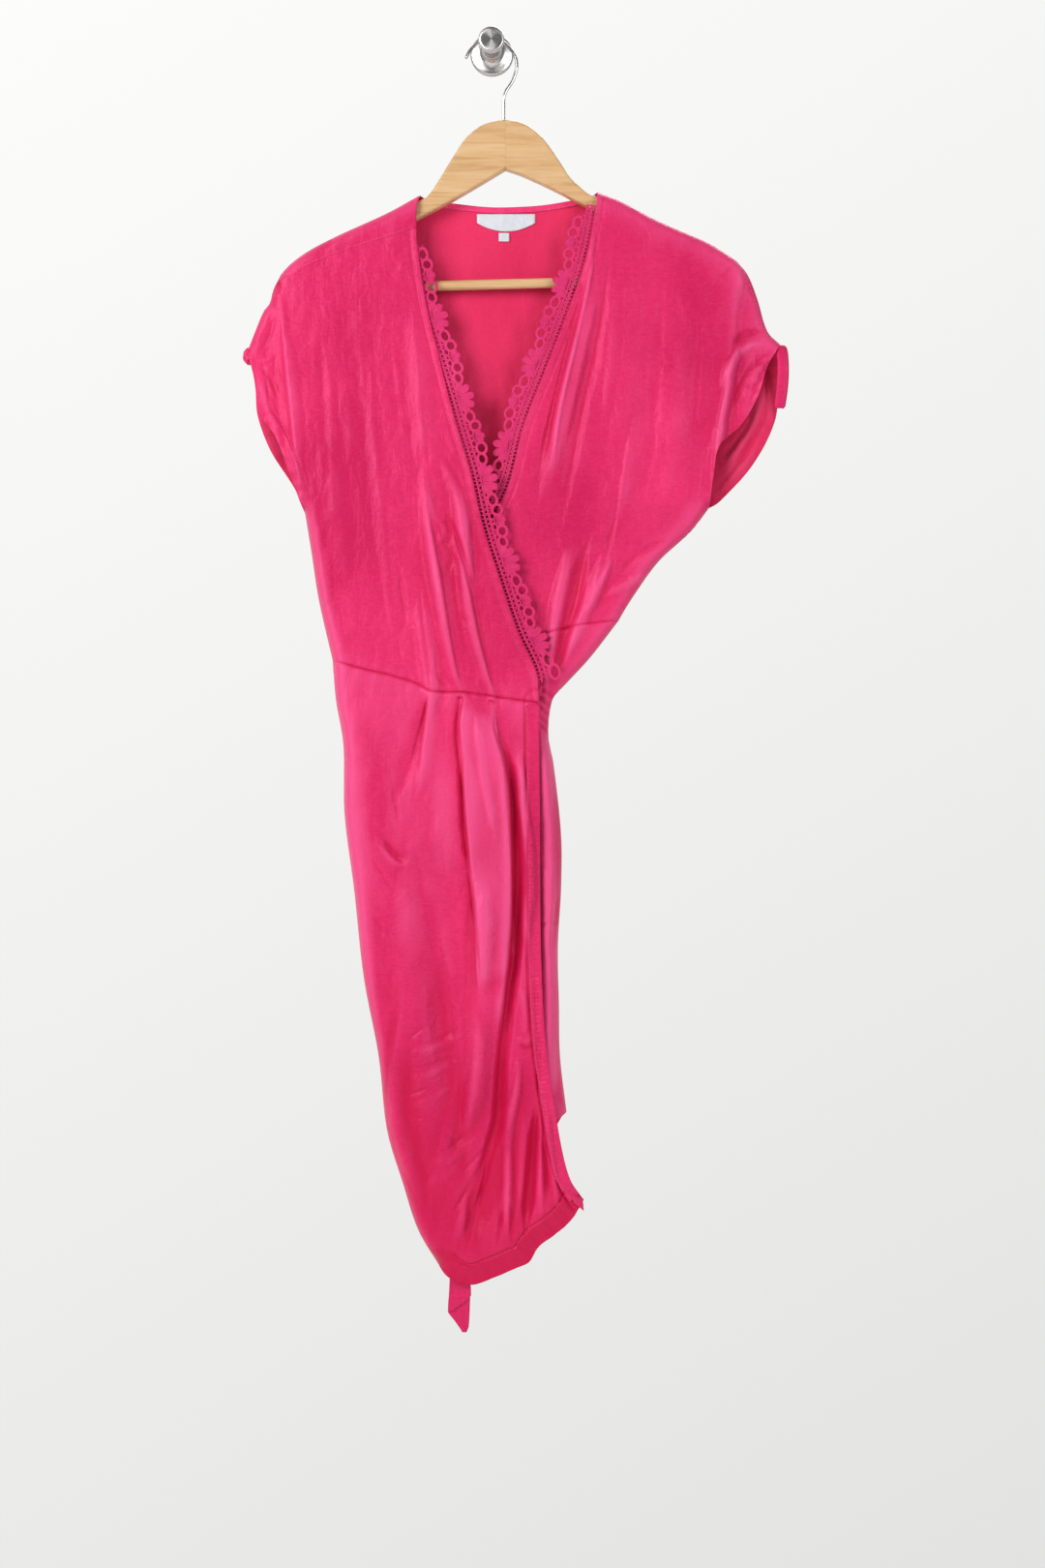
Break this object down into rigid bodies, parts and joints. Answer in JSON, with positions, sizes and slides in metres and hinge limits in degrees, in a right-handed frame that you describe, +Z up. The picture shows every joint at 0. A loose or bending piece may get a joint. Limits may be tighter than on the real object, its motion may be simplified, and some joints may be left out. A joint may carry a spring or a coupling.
{
  "type": "wrap dress on a hanger and wall hook",
  "caption": "Short-sleeved satin wrap dress with lace along its V neck, hung on a wooden hanger from a round wall hook.",
  "frame": {"origin": "middle of the wall plate's back face, on the wall plane", "axes": "+Y into the wall, +Z up, +X to the viewer's right when facing the wall"},
  "size_m": [0.5157, 0.0526, 1.2298],
  "materials": {
    "satin": "soft satin weave, fuchsia",
    "satin_inside": "matt reverse of the satin",
    "lace": "matt corded lace",
    "label_cloth": "woven label, bare",
    "beech": "clear lacquered pale wood",
    "steel": "brushed and polished steel"
  },
  "bodies": {
    "root": {"bodice_over": "satin", "bodice_back_shoulder_left": "satin", "bodice_under": "satin", "skirt_over": "satin", "skirt_under": "satin", "placket_over": "satin", "neck_binding_back": "satin", "tie_inner": "satin", "cuff_tab_left": "satin", "cuff_tab_right": "satin", "bodice_back": "satin_inside", "skirt_back": "satin_inside", "lace_over": "lace", "lace_under": "lace", "neck_label": "label_cloth", "size_tab": "label_cloth", "hanger_arm_left": "beech", "hanger_arm_right": "beech", "hanger_bar": "beech", "hanger_hook": "steel", "wall_hook": "steel"}
  },
  "joints": []
}
